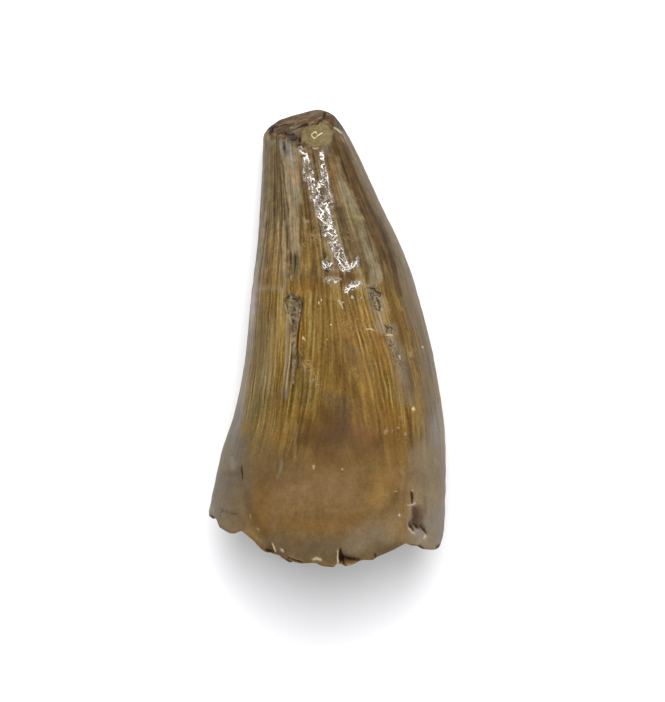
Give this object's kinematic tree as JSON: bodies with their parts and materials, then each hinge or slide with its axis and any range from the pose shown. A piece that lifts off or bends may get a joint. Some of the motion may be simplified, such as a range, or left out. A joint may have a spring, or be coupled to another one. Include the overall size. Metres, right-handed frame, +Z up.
{
  "type": "fossil crocodile tooth",
  "caption": "Fossil crocodile tooth crown lying on its side: a curved, finely ribbed cone with a low keel, its tip worn and broken, its base broken ragged round a hollow.",
  "frame": {"origin": "on the surface that the tooth lies on, under the centre of its bounding box", "axes": "+Y along the tooth from its broken base to its tip, +X towards the convex edge of its curve, +Z up from the small flat spot that it lies on"},
  "size_m": [0.0098, 0.0194, 0.0092],
  "materials": {
    "fossil_enamel": "glossy amber-brown fossil enamel with fine lengthwise ribs, greyish edges, a matrix-filled crack, and matt brown broken dentine at tip and base"
  },
  "bodies": {
    "root": {"tooth": "fossil_enamel"}
  },
  "joints": []
}
